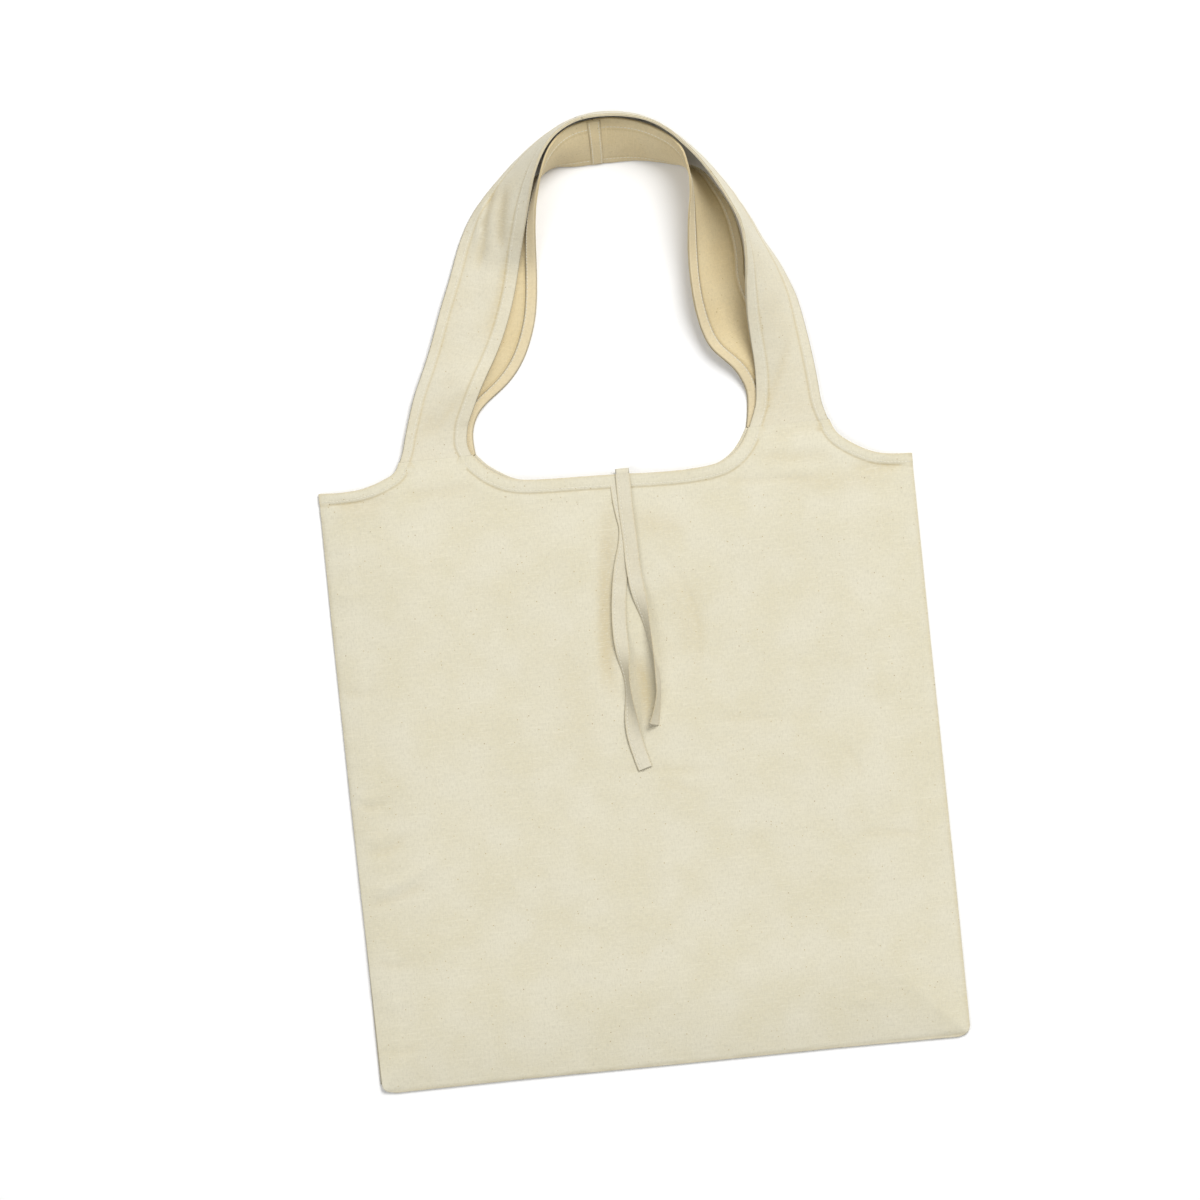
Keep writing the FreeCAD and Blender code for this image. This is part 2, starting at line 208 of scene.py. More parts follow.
FRONT_FOLDS = (
    # dips below the armhole hems and the strap bases
    (((-198, 76), (-176, 74.5), (-153, 78), (-146, 84)), 3.2, -0.9),
    (((156, 68), (176, 64), (198, 64)), 3.2, -0.9),
    (((-150, 78), (-120, 77), (-88, 80)), 5.0, -0.55),
    (((86, 82), (118, 77), (154, 76)), 5.0, -0.6),
    (((98, 91), (128, 96), (160, 99)), 4.5, -0.5),
    (((56, 70), (80, 65), (104, 63), (146, 61)), 2.6, -0.45),
    (((104, 69), (140, 67)), 4.0, 0.3),
    # the cloth round the ties: a dip at their left, a lens-shaped swell at their right
    (((-11, 60), (-12, 20), (-17, -34), (-20, -78)), 5.5, -1.6),
    (((-30, 62), (-33, 0), (-36, -70)), 13.0, 0.5),
    (((13, 40), (33, 10), (45, -25), (40, -60), (22, -76)), 3.0, -0.4),
    (((24, 25), (32, -15), (27, -55)), 9.0, 0.6),
    (((4, -42), (6, -66), (7, -94)), 4.5, -0.9),
    # puckers in from the left seam
    (((-198, -116), (-190, -124), (-168, -113)), 3.0, 0.55),
    (((-196, -122), (-186, -130), (-172, -124)), 3.0, -0.5),
    (((-196, -146), (-186, -152), (-164, -136)), 3.4, 0.6),
    (((-198, -158), (-184, -161), (-160, -147)), 3.2, -0.5),
    (((-200, -188), (-178, -184), (-140, -166)), 3.6, 0.8),
    (((-200, -196), (-182, -194), (-150, -182)), 3.4, -0.6),
    (((-198, -232), (-180, -238), (-160, -232)), 3.0, -0.4),
    (((-199, -262), (-186, -264), (-168, -258)), 2.8, 0.4),
    (((-199, -292), (-184, -296), (-166, -290)), 2.8, -0.4),
    (((-200, 20), (-186, 14), (-170, 18)), 3.0, 0.35),
    (((-200, -48), (-184, -54), (-170, -50)), 3.0, -0.35),
    # faint pressed lines and small creases
    (((-18, -135), (-19, -225), (-20, -318)), 1.6, 0.22),
    (((5, -137), (8, -230), (10, -321)), 1.6, 0.22),
    (((-30, -120), (10, -124), (64, -129)), 2.6, -0.3),
    (((40, -93), (75, -95), (107, -100)), 2.6, -0.3),
    (((133, -181), (160, -182), (187, -186)), 2.8, -0.35),
    (((133, -116), (141, -130), (147, -147)), 2.6, -0.35),
    (((3, -130), (24, -138), (42, -148)), 2.4, -0.25),
    (((120, -291), (144, -293)), 4.0, 0.45),
    (((-72, -245), (-48, -247)), 4.0, 0.4),
    # creases fanning down through the strap bases
    (((129, 167), (120, 140), (106, 112), (100, 91)), 3.0, -0.8),
    (((134, 160), (128, 135), (118, 106)), 4.0, 0.6),
    (((-94, 146), (-108, 130), (-126, 111)), 3.0, -0.7),
    (((-99, 160), (-114, 136), (-134, 104)), 3.4, -0.55),
    (((-104, 150), (-120, 126)), 4.0, 0.6),
    (((-58, 280), (-67, 264), (-72, 246)), 2.4, -1.9),
    (((-64, 274), (-72, 258), (-77, 238)), 2.2, 1.3),
    (((-50, 284), (-57, 262), (-62, 229)), 3.2, -1.7),
    (((-70, 262), (-73, 240), (-80, 220)), 2.6, -1.5),
    (((-62, 250), (-70, 225), (-78, 196)), 4.0, 1.1),
    (((-56, 240), (-66, 205), (-80, 172)), 3.0, -1.2),
)
BACK_FOLDS = (
    (((84, 250), (87, 215), (90, 175)), 6.0, -1.2),
    (((72, 262), (74, 220), (78, 178)), 6.0, 0.7),
    (((-50, 250), (-48, 210), (-58, 170)), 4.0, -0.6),
)

# Loop stations, anticlockwise from the left base: inner edge x, y, outer edge x, y
FRONT_LOOP = (
    (-94.8, 100, -143.8, 100), (-97, 107, -141, 107), (-96.6, 114, -139, 114.2),
    (-95, 121, -134.9, 127.6), (-91, 130, -130.3, 141.2), (-83, 146, -122.9, 157.8),
    (-72.5, 164, -114.4, 177.8), (-62, 186, -105.4, 201.6), (-54.5, 207.5, -97.4, 220.9),
    (-48.9, 229, -90, 240), (-43.6, 249.5, -80, 258.5), (-38.8, 268, -66, 275), (-34.2, 284, -50, 290),
    (-27.6, 298, -35.6, 301.5), (-18.8, 308.9, -21, 311), (-8.7, 315.6, -8.5, 317),
    (2, 319, 2.2, 320), (13, 319.8, 13.6, 321.2), (27, 318.8, 28, 320.1), (42.3, 315.2, 44.2, 315.2),
    (56, 307.8, 57.8, 306.8), (68.6, 296, 71, 294.6), (79.7, 281.9, 82.6, 281.2),
    (89.3, 265.8, 92.8, 267), (96.4, 251.8, 101.2, 253.2), (101.4, 239, 108, 240.2),
    (103, 226, 114.5, 226.5), (102.8, 213, 121.5, 213.5), (101.3, 200, 128, 200),
    (100, 186, 133.5, 185), (99.6, 170, 137, 168.5), (100.3, 155, 139.4, 153.5),
    (101, 139, 141.4, 137.6), (100.4, 125, 142.6, 124.4), (98.8, 114, 143.4, 114),
    (96.2, 107, 144.8, 107), (93.3, 100, 147, 100))
BACK_LOOP = (
    (-92, 100, -141, 100), (-92.6, 107, -140, 107), (-92.4, 114, -138, 114.6),
    (-90.4, 121.5, -133.6, 125), (-84.9, 130.3, -126, 140), (-75.3, 138.3, -115.6, 155),
    (-64.4, 146.9, -104, 166.5), (-55.5, 157.5, -96.6, 176), (-48.4, 171, -90, 186),
    (-43, 187, -85.6, 196), (-39.8, 206, -82.7, 210), (-38, 227, -80.9, 227.4),
    (-36.8, 246, -75, 244.6), (-34.5, 264, -63, 261), (-30.8, 279, -46.5, 274.5),
    (-27, 290.4, -31, 283), (-20.8, 302, -18.5, 287.6), (-11.4, 311, -8.6, 287.2),
    (-1.4, 315.3, 0, 287), (9, 317, 9, 287), (19.4, 317.2, 18.4, 287.2), (31, 315.2, 28.4, 287.2),
    (42.4, 311.4, 38, 286.7), (53.2, 305.4, 46, 285.2), (61.4, 298.8, 54, 283.4), (67.2, 290.8, 62.4, 281.4),
    (69.2, 282.6, 71.4, 279.4), (70.2, 274, 79.4, 274.4), (69.8, 263, 87, 263.6),
    (67.4, 249, 94.2, 251), (65, 232, 99.2, 235.5), (63.8, 214, 101.2, 216.5),
    (64, 197.5, 100.8, 201), (65.4, 180.5, 104, 188.4), (68.6, 165.6, 107.6, 179),
    (73.2, 155.4, 111.4, 171), (80.2, 147.5, 118, 163), (87.4, 139.3, 126, 151.5),
    (92.2, 129.5, 133, 137.5), (93.8, 121, 138, 124), (93, 111, 140.8, 113), (92.2, 106, 141, 106.6),
    (91, 100, 141, 100))
FRONT_LIFT = ((0, 3.2), (30, 3.4), (90, 3.6), (125, 2.7), (155, 1.0), (300, 0.9), (400, 1.0), (460, 2.4),
              (500, 3.0), (560, 3.2))
BACK_LIFT = ((0, 0.8), (280, 0.8), (560, 0.8))
FRONT_CAMBER = ((0, 0), (60, 0.5), (130, 2.6), (175, 3.4), (240, 1.0), (330, 0.5), (400, 1.5), (450, 2.3),
                (500, 1.5), (560, 0))
BACK_CAMBER = ((0, 0), (80, -1.0), (180, -2.0), (240, -3.2), (330, -3.2), (420, -3.0), (480, -2.0), (560, 0))

# Where golden shade is painted on the cloth, in its hollows
PAINTED_SHADE_PLACES = (
    (((-6, 64), (-6, 40), (-8, 14)), 6.0, 0.20),
    (((12, 56), (16, 46), (30, 40), (46, 30)), 9.0, 0.20),
    (((3, -36), (5, -60), (6.5, -86), (8, -108)), 6.0, 0.30),
    (((-9, 24), (-15, 0), (-17, -28), (-17, -56), (-12, -86)), 6.5, 0.20),
    (((30, 20), (40, -20), (34, -60)), 10.0, 0.14),
    (((-60, -10), (-40, -60), (-50, -130)), 16.0, 0.08),
    (((104, 60), (150, 58), (196, 60)), 7.0, 0.16),
    (((-196, 70), (-150, 68)), 6.0, 0.14),
)

# Tie routes and turns. A route's points are the part's, moved and added to as the tapes lie on the
# cloth: x, y and height. Turns are shares of the length, and degrees.
FRONT_TIE = ((0.9, 71, 6.5), (0.9, 64, 7.5), (2.2, 52, 8.4), (4.8, 37, 9.3), (-4, 10, 10), (-8, -24, 9.7),
             (-6.2, -50, 12.6), (-5.2, -70, 14.2), (-5.6, -88, 12), (-4.6, -104, 9.8), (0.4, -121.7, 9.8))
BACK_TIE = ((5, 77.5, 8.1), (4.9, 66, 7.9), (4.9, 52, 9.6), (5.6, 34, 11), (6, 6, 10.9), (10.3, -17, 12.8),
            (12.8, -40, 14.6), (15.6, -62, 13.8), (13.8, -78, 13.9), (9.2, -93, 12.6))
FRONT_TURNS = ((0, 0), (0.2, 0), (0.3, 5), (0.38, 5), (0.46, 0), (0.56, -8), (0.63, -46), (0.68, -66),
               (0.73, -66), (0.78, -48), (0.85, -14), (0.9, 0), (1, 0))
BACK_TURNS = ((0, 0), (0.12, -6), (0.3, -4), (0.44, -4), (0.52, -34), (0.6, -64), (0.68, -80), (0.73, -92),
              (0.79, -106), (0.88, -106), (0.94, -116), (1, -130))


# --- height of the cloth ------------------------------------------------------
def fine_relief(x, y, seed):
    """Small unevenness of washed and pressed cloth."""
    return (0.34 * noise(x, y, 46, seed) + 0.17 * noise(x + 0.4 * y, y, 19, seed + 1)
            + 0.07 * noise(x, y, 8, seed + 2))


def seam_puckers(x, y, seed):
    """Gathers that run in from the side and bottom seams."""
    side = HALF_WIDTH - np.abs(x)
    foot = y - FOOT_Y
    wander = 3 * noise(x, y, 30, seed)
    along_side = noise(y + wander, 0, 6.5, seed + 3) + 0.6 * noise(y, 0, 15, seed + 4)
    along_foot = noise(x + wander, 0, 9, seed + 5)
    strength = np.where(x < 0, 0.34, 0.22)
    return (strength * along_side * np.exp(-side / 9.0) * ease(side / 1.5)
            + 0.26 * along_foot * np.exp(-foot / 7.0) * ease(foot / 1.5))


def front_rise(x, y):
    """Underside of the front cloth, without hems and folds."""
    reach = np.clip(np.minimum(HALF_WIDTH - np.abs(x), y - FOOT_Y) / SLACK_REACH, 0, 1)
    slope = 1 - (1 - reach) ** 2
    taper = 1 - 0.34 * ease((y - 20) / 57) - 0.42 * ease((y - 74) / 34)
    return FRONT_EDGE_Z + SLACK * slope * taper


def front_height(x, y):
    """Underside of the front cloth: calmer behind the ties, raised over the side allowances."""
    inside = ease((HALF_WIDTH - np.abs(x)) / 4) * ease((y - FOOT_Y) / 4)
    ties = ease((26 - np.abs(x)) / 14) * ease((y + 130) / 12) * ease((84 - y) / 12)
    relief = fine_relief(x, y, 7) * (1 - 0.55 * ties) + fold_heights(x, y, FRONT_FOLDS)
    allowance = 0.35 * ease((19.5 - (HALF_WIDTH - np.abs(x))) / 2.5)
    return front_rise(x, y) + inside * relief + seam_puckers(x, y, 11) + inside * allowance


def back_height(x, y):
    """Underside of the back cloth, which lies flat. Takes y as front_height does."""
    return np.zeros_like(x)


def hem_puckers(along, away, seed):
    """Rope-like unevenness where a hem is stitched down."""
    return 0.16 * noise(along, 0, 5.5, seed) * np.exp(-(away / 6.0) ** 2)


def hem_profile(away, width, rise):
    """How far a hem stands above the cloth, at a distance in from its edge."""
    band = rise * ease((width + 0.5 - away) / 1.0)
    groove = STITCH_GROOVE * np.exp(-((away - width + STITCH_IN) / 0.8) ** 2)
    shadow_dip = 0.30 * np.exp(-((away - width - 1.1) / 1.1) ** 2)
    return band - groove - shadow_dip


def hem_painted_shade(away, width):
    """The golden shade painted along a hem's fold step, and fainter at its outer edge."""
    return 0.50 * np.exp(-((away - width - 0.7) / 0.7) ** 2) + 0.30 * np.exp(-(away / 0.7) ** 2)


# --- meshes -------------------------------------------------------------------
def new_object(name, points, faces, uv=None, material=None, painted_shade=None):
    mesh = bpy.data.meshes.new(name)
    mesh.from_pydata((np.asarray(points) * MM).tolist(), [], faces)
    mesh.shade_smooth()
    if uv is not None:
        layer = mesh.uv_layers.new(name="Cloth")
        corner = np.empty(len(mesh.loops), dtype=np.int64)
        mesh.loops.foreach_get("vertex_index", corner)
        layer.data.foreach_set("uv", (np.asarray(uv) * MM)[corner].astype(np.float32).ravel())
    # Painted shade: how much golden shade each point gets, kept as a mesh attribute.
    if painted_shade is not None:
        mesh.attributes.new("PaintedShade", "FLOAT", "POINT").data.foreach_set("value", np.asarray(painted_shade, np.float32))
    mesh.materials.append(material)
    obj = bpy.data.objects.new(name, mesh)
    bpy.context.scene.collection.objects.link(obj)
    return obj


def unit(v):
    return v / np.maximum(np.linalg.norm(v, axis=-1, keepdims=True), 1e-9)


def open_edges(faces):
    """The edges that only one face has, in that face's order."""
    ways = dict.fromkeys((a, b) for face in faces for a, b in zip(face, face[1:] + face[:1]))
    return [(a, b) for a, b in ways if (b, a) not in ways]


def shell(name, top, under, faces, uv, material, bulge=0.8, rings=3, cut=None, painted_shade=None):
    """Closed cloth layer between two matching surfaces, with a rounded rim.

    cut marks the points where the cloth goes on in the next piece: the rim is flat there.
    The last argument is the golden shade painted on each point, from 0 to 1.
    """
    count = len(top)
    painted_shade = np.zeros(count) if painted_shade is None else np.clip(painted_shade, 0, 1)
    cut = np.zeros(count, dtype=bool) if cut is None else cut
    rim = open_edges(faces)
    ids = sorted({a for edge in rim for a in edge})
    place = {a: k for k, a in enumerate(ids)}
    middle, half = (top[ids] + under[ids]) / 2, (top[ids] - under[ids]) / 2
    outward = np.zeros((len(ids), 3))
    for a, b in rim:
        if not (cut[a] and cut[b]):
            out = np.cross(top[b] - top[a], half[place[a]])
            outward[place[a]] += out
            outward[place[b]] += out
    outward = unit(outward) * np.linalg.norm(half, axis=1, keepdims=True) * bulge
    turns = [math.pi * k / (rings + 1) for k in range(1, rings + 1)]
    points = [top, under] + [middle + half * math.cos(turn) + outward * math.sin(turn) for turn in turns]
    flat = [uv, uv] + [uv[ids]] * rings
    # Painted shade: the rounded rim gets at least the rim's golden shade.
    ring_painted_shade = [painted_shade, painted_shade] + [np.maximum(painted_shade[ids], RIM_PAINTED_SHADE)] * rings

    def at(ring, a):
        """Where a rim point stands in one ring, from the top surface to the lower one."""
        if ring == 0:
            return a
        return a + count if ring > rings else 2 * count + (ring - 1) * len(ids) + place[a]
    solid = [tuple(f) for f in faces] + [tuple(a + count for a in reversed(f)) for f in faces]
    solid += [(at(k, b), at(k, a), at(k + 1, a), at(k + 1, b)) for a, b in rim for k in range(rings + 1)]
    obj = new_object(name, np.concatenate(points), solid, np.concatenate(flat), material,
                     np.concatenate(ring_painted_shade))
    sharp = {(a + n, b + n) for a, b in rim if cut[a] and cut[b] for n in (0, count)}
    for edge in obj.data.edges if sharp else ():
        a, b = edge.vertices
        edge.use_edge_sharp = (a, b) in sharp or (b, a) in sharp
    return obj


def grid_faces(rows, columns, flip=False):
    faces = []
    for i in range(rows - 1):
        for j in range(columns - 1):
            a = i * columns + j
            face = [a, a + 1, a + columns + 1, a + columns]
            faces.append(face[::-1] if flip else face)
    return faces


def end_rows(rows, columns):
    """Marks the first and last row of a grid's points."""
    row = np.repeat(np.arange(rows), columns)
    return (row == 0) | (row == rows - 1)


def drop_unused(points, faces):
    """Which points the faces use, and the faces renumbered for them."""
    used = np.unique(np.concatenate([np.asarray(f) for f in faces]))
    renumber = np.full(len(points), -1)
    renumber[used] = np.arange(len(used))
    return used, [[int(renumber[a]) for a in f] for f in faces]


# --- panels -------------------------------------------------------------------
def strap_columns(width):
    """Distances in from the inner edge: close at the hems, wider between."""
    def near(hem):
        row = hem - STITCH_IN
        return [0, 0.7, 1.8, 3.1, row - 0.9, row, row + 0.8, hem - 0.1, hem + 0.7, hem + 1.6, hem + 3]
    inner, outer = near(NECK_HEM), [width - d for d in reversed(near(EDGE_HEM))]
    between = int(round((STRAP_WIDTH - NECK_HEM - EDGE_HEM - 6) / GRID))
    return np.concatenate([inner, np.linspace(inner[-1], outer[0], between + 1)[1:-1], outer])


def moved(line, distance, inward):
    """A copy of a plan line, moved sideways."""
    along = unit(np.gradient(line, axis=0))
    side = np.stack([-along[:, 1], along[:, 0]], axis=1) * inward
    return line + side * distance


def nearest(points, line):
    """Distance from each point to the nearest of a line's samples, and which it is."""
    best, which = np.full(len(points), 1e9), np.zeros(len(points), dtype=int)
    for start in range(0, len(line), 64):
        part = line[start:start + 64]
        gap = ((points[:, None, :] - part[None]) ** 2).sum(axis=2)
        k = gap.argmin(axis=1)
        value = gap[np.arange(len(points)), k]
        closer = value < best
        best, which = np.where(closer, value, best), np.where(closer, start + k, which)
    return np.sqrt(best), which


class Panel:
    """One body panel, meshed in plan: outline, hem rows and an even field."""

    def __init__(self, outlines, grid):
        neck, arm_left, arm_right = (curve(p, 1.4) for p in outlines)
        left, right, bottom = (straight(p, 2.0) for p in (LEFT_SIDE, RIGHT_SIDE, BOTTOM))
        self.edges = (("neckline", neck, NECK_HEM, -1), ("armhole_left", arm_left, EDGE_HEM, 1),
                      ("armhole_right", arm_right, EDGE_HEM, 1))
        left_cut, right_cut = (self.strap_cut(inner, outer) for inner, outer in
                               ((neck[0], arm_left[0]), (neck[-1], arm_right[-1])))
        outline = np.concatenate([line[:-1] for line in (bottom, right, arm_right, right_cut[::-1],
                                                         neck[::-1], left_cut, arm_left, left)])
        rows = [outline]
        for _, line, hem, inward in self.edges:
            near = (0.7, 1.8, 3.2, 4.6) + tuple(hem + d for d in (-2.2, -1.3, -0.5, -0.1, 0.7, 1.6, 3.0))
            rows += self.inset_rows(line, near, inward, outline)
        for line in (left, right, bottom):
            rows += self.inset_rows(line, (0.6, 1.4, 2.6, 4.2, 6.0), 1, outline)
        rows.append(self.field(grid, outline, np.concatenate([neck, arm_left, arm_right])))
        ring = len(outline)
        edges = [(k, (k + 1) % ring) for k in range(ring)]
        made, _, faces, *_ = delaunay_2d_cdt([tuple(p) for p in np.concatenate(rows)], edges,
                                             [list(range(ring))], 1, 1e-5)
        used, self.faces = drop_unused(made, faces)
        self.points = np.array([tuple(p) for p in made])[used]
        self.hems = []
        for _, line, width, _ in self.edges:
            gap, which = nearest(self.points, line)
            self.hems.append((gap, lengths(line)[which], width))

    @staticmethod
    def strap_cut(inner, outer):
        """The straight line where a strap goes on, with the strap's own columns."""
        width = abs(outer[0] - inner[0])
        return inner + (outer - inner) * (strap_columns(width) / width)[:, None]

    @staticmethod
    def inset_rows(line, distances, inward, outline):
        """Rows of points beside an edge, where no other edge is nearer."""
        for d in distances:
            row = moved(line, d, inward)
            gap, _ = nearest(row, outline)
            yield row[(gap > 0.92 * d) & (row[:, 1] < CUT_Y - 0.4)]

    @staticmethod
    def field(grid, outline, hem_edges):
        """Points in staggered rows, clear of the outline's and the hems' own rows."""
        xs, ys = np.arange(-HALF_WIDTH, HALF_WIDTH, grid), np.arange(FOOT_Y, CUT_Y, grid * 0.866)
        points = np.array([(x + (grid / 2 if k % 2 else 0), y) for k, y in enumerate(ys) for x in xs])
        gap, _ = nearest(points, outline)
        hem_gap, _ = nearest(points, hem_edges)
        return points[(gap > 1.5 + grid / 2) & (hem_gap > NECK_HEM + 3.0 + grid / 2)
                      & ((gap > 6 + grid / 2) | (points[:, 1] > 60))]

    # Golden shade painted along the panel's hems.
    def hems_painted_shade(self):
        return sum(hem_painted_shade(away, width) for away, _, width in self.hems)

    def relief(self):
        """What the hems add to the cloth's outer surface."""
        return sum(hem_profile(away, width, HEM_RISE) + hem_puckers(along, away, 40 + k)
                   for k, (away, along, width) in enumerate(self.hems))


def panel_cloth(name, panel, top, under, bulge, painted_shade=None):
    x, y = panel.points.T
    return shell(name, np.stack([x, y, top], 1), np.stack([x, y, under], 1), panel.faces, panel.points,
                 PANEL_COTTON, bulge=bulge, cut=y > CUT_Y - 0.01, painted_shade=painted_shade)


def front_panel_cloth(panel):
    """The front: hems in relief, a curled outer edge, golden shade painted in its hollows."""
    x, y = panel.points.T
    under = front_height(x, y)
    edge = 0.3 + np.minimum(HALF_WIDTH - np.abs(x), y - FOOT_Y)
    curl = 0.55 * (1 - ease(edge / 2.2)) * (y < 70)
    # Painted shade: golden in the folds' dips, along the hems, in the listed hollows and at the curled edge.
    hollow_shade = np.clip(-0.25 * fold_heights(x, y, FRONT_FOLDS), 0, 0.3)
    painted_shade = panel.hems_painted_shade() + fold_heights(x, y, PAINTED_SHADE_PLACES) + hollow_shade + 0.25 * (1 - ease(edge / 2.5))
    top = under + CLOTH + panel.relief() - curl
    return panel_cloth("front_panel", panel, top, under - 0.7 * curl, 1.1, painted_shade)


def back_panel_cloth(panel):
    """The back: flat underneath, a little uneven inside."""
    x, y = panel.points.T
    under = back_height(x, y)
    return panel_cloth("back_panel", panel, under + CLOTH + 0.12 * noise(x, y, 30, 3), under, 0.9)


def turned_hem(name, line, width, inward, height, outer_face):
    """The allowance folded to the inside along a panel's edge; outer_face is 1 if it is on top."""
    depths = [0.25, 0.8, 1.8, 3.2, 4.6, width - 1.6, width - 0.8, width - 0.2]
    grid = np.stack([moved(line, d, inward) for d in depths], axis=1)
    n, m = grid.shape[:2]
    x, y = grid.reshape(-1, 2).T
    along = np.repeat(lengths(line), m)
    z = height(x, y) + 0.05 * noise(along, 0, 6, 5)
    low, high = ((z - TURNED, z - HEM_GAP) if outer_face > 0 else
                 (z + CLOTH + HEM_GAP, z + CLOTH + TURNED))
    return shell(name, np.stack([x, y, high], 1), np.stack([x, y, low], 1), grid_faces(n, m, inward > 0),
                 np.stack([along, np.tile(depths, n)], 1), HEM_COTTON, rings=2)


# --- strap ribbons ------------------------------------------------------------
class Ribbon:
    """One carrying loop from base to base, as rows of its inner and outer edge."""

    def __init__(self, stations, lifts, base_height, folds, camber, seed):
        stations = np.array(stations, float)
        knots = lengths((stations[:, :2] + stations[:, 2:]) / 2)
        self.at, self.split = self.row_places(knots, stations[:, 1])
        self.folds, self.seed, self.base_height = folds, seed, base_height
        edges = spline(knots, stations, self.at)
        self.end = np.minimum(self.at, knots[-1] - self.at)
        fade = ease((self.end - STAND_START) / STAND_REACH)
        # a strap seen narrower than it is stands on its outer edge
        plan = np.linalg.norm(edges[:, :2] - edges[:, 2:], axis=1)
        rise = soften(fade * np.sqrt(np.maximum(STRAP_WIDTH ** 2 - plan ** 2, 0.0)), 8.0 / ROW)
        lift = np.interp(self.at, *zip(*lifts))
        joined = ease(self.end / JOIN_REACH)
        inner_z = joined * (lift + rise) + (1 - joined) * base_height(edges[:, 0], edges[:, 1])
        outer_z = joined * lift + (1 - joined) * base_height(edges[:, 2], edges[:, 3])
        self.inner = np.column_stack([edges[:, :2], inner_z])
        self.outer = np.column_stack([edges[:, 2:], outer_z])
        self.middle = (self.inner + self.outer) / 2
        self.along = lengths(self.middle)
        self.across = unit(self.outer - self.inner)
        self.width = np.linalg.norm(self.outer - self.inner, axis=1)
        self.up = unit(np.cross(unit(np.gradient(self.middle, axis=0)), self.across))
        self.camber = fade * np.interp(self.at, *zip(*camber))

    @staticmethod
    def row_places(knots, inner_y):
        """Places of the rows along the loop, and the rows where it passes SPLIT_Y."""
        fine = np.linspace(0, knots[-1], 1200)
        past = spline(knots, inner_y, fine) > SPLIT_Y
        first, last = fine[np.argmax(past)], fine[len(fine) - 1 - np.argmax(past[::-1])]
        runs = [np.linspace(a, b, max(int(round((b - a) / ROW)), 2) + 1)[:-1]
                for a, b in ((0, first), (first, last), (last, knots[-1]))]
        return np.concatenate(runs + [[knots[-1]]]), (len(runs[0]), len(runs[0]) + len(runs[1]))

    def surface(self, rows, columns):
        """Mid-surface points, normals, and distances in from both edges."""
        rows = np.arange(*rows)
        away = np.stack([columns(self.width[k]) for k in rows])
        share = away / self.width[rows, None]
        points = self.inner[rows, None] + self.across[rows, None] * away[..., None]
        normal = np.repeat(self.up[rows, None], away.shape[1], axis=1)
        flatness = ease(self.end[rows] / WAVE_REACH)[:, None]
        x, y = points[..., 0], points[..., 1]
        s = np.repeat(self.along[rows, None], away.shape[1], axis=1)
        wave = (0.45 * noise(s, away, 38, self.seed) + 0.22 * noise(s + away, away, 15, self.seed + 1)
                + 0.10 * noise(s, away, 7, self.seed + 2))
        middle = np.sin(np.pi * np.clip(share, 0, 1))
        push = (self.camber[rows, None] * middle + flatness * wave * (0.35 + 0.65 * middle)
                + flatness * fold_heights(x, y, self.folds) * (0.3 + 0.7 * middle)
                + (1 - flatness) * (self.base_height(x, y) - points[..., 2]))
        points = points + normal * push[..., None]
        points[..., 2] = np.maximum(points[..., 2], CLOTH / 2)
        return points, normal, away, s


def ribbon_cloth(name, ribbon, rows, material, rise):
    """A strap's one layer of cloth; rise is how far its hems stand up on top."""
    points, normal, away, s = ribbon.surface(rows, strap_columns)
    width = ribbon.width[rows[0]:rows[1], None]
    top, under = np.full(away.shape, CLOTH / 2), np.full(away.shape, -CLOTH / 2)
    # Painted shade: golden in the folds' dips on a face whose hems stand up, and along both hems.
    hollow_shade = fold_heights(points[..., 0], points[..., 1], ribbon.folds)
    painted_shade = np.clip(-0.25 * hollow_shade, 0, 0.4) * (rise > 0)
    for distance, hem, seed in ((away, NECK_HEM, 60), (width - away, EDGE_HEM, 70)):
        puckers = hem_puckers(s, distance, seed + ribbon.seed)
        top += hem_profile(distance, hem, 1.0) * rise + puckers
        under += puckers
        painted_shade += hem_painted_shade(distance, hem)
    n, m = away.shape
    uv = np.stack([away.ravel(), s.ravel()], 1)
    return shell(name, (points + normal * top[..., None]).reshape(-1, 3),
                 (points + normal * under[..., None]).reshape(-1, 3), grid_faces(n, m), uv, material,
                 cut=end_rows(n, m), painted_shade=painted_shade.ravel())


def ribbon_band(name, ribbon, rows, start, end, low, high, material, cut_ends=True):
    """Strip along or across a ribbon: distances from its inner edge, or outer if negative."""
    def columns(width):
        a, b = (width + d if d < 0 else d for d in (start, end))
        return np.linspace(a, b, max(int(round((b - a) / 1.6)), 3) + 1)
    points, normal, away, s = ribbon.surface(rows, columns)
    pucker = 0.05 * noise(s, away, 6, ribbon.seed + 5)
    n, m = away.shape
    uv = np.stack([s.ravel(), away.ravel()], 1)
    return shell(name, (points + normal * (high + pucker)[..., None]).reshape(-1, 3),
                 (points + normal * (low + pucker)[..., None]).reshape(-1, 3),
                 grid_faces(n, m), uv, material, rings=2, cut=end_rows(n, m) if cut_ends else None)


# --- thread -------------------------------------------------------------------
def add_tube(points, faces, rings, sides):
    """Adds a closed tube through rings of (centre, half width, half height)."""
    first = len(points)
    for centre, side, up in rings:
        for k in range(sides):
            turn = 2 * math.pi * k / sides
            points.append(centre + side * math.cos(turn) + up * math.sin(turn))
    last = len(points) - sides
    for a in range(first, last, sides):
        for k in range(sides):
            b = (k + 1) % sides
            faces.append((a + k, a + b, a + sides + b, a + sides + k))
    faces.append(tuple(range(first + sides - 1, first - 1, -1)))
    faces.append(tuple(range(last, last + sides)))


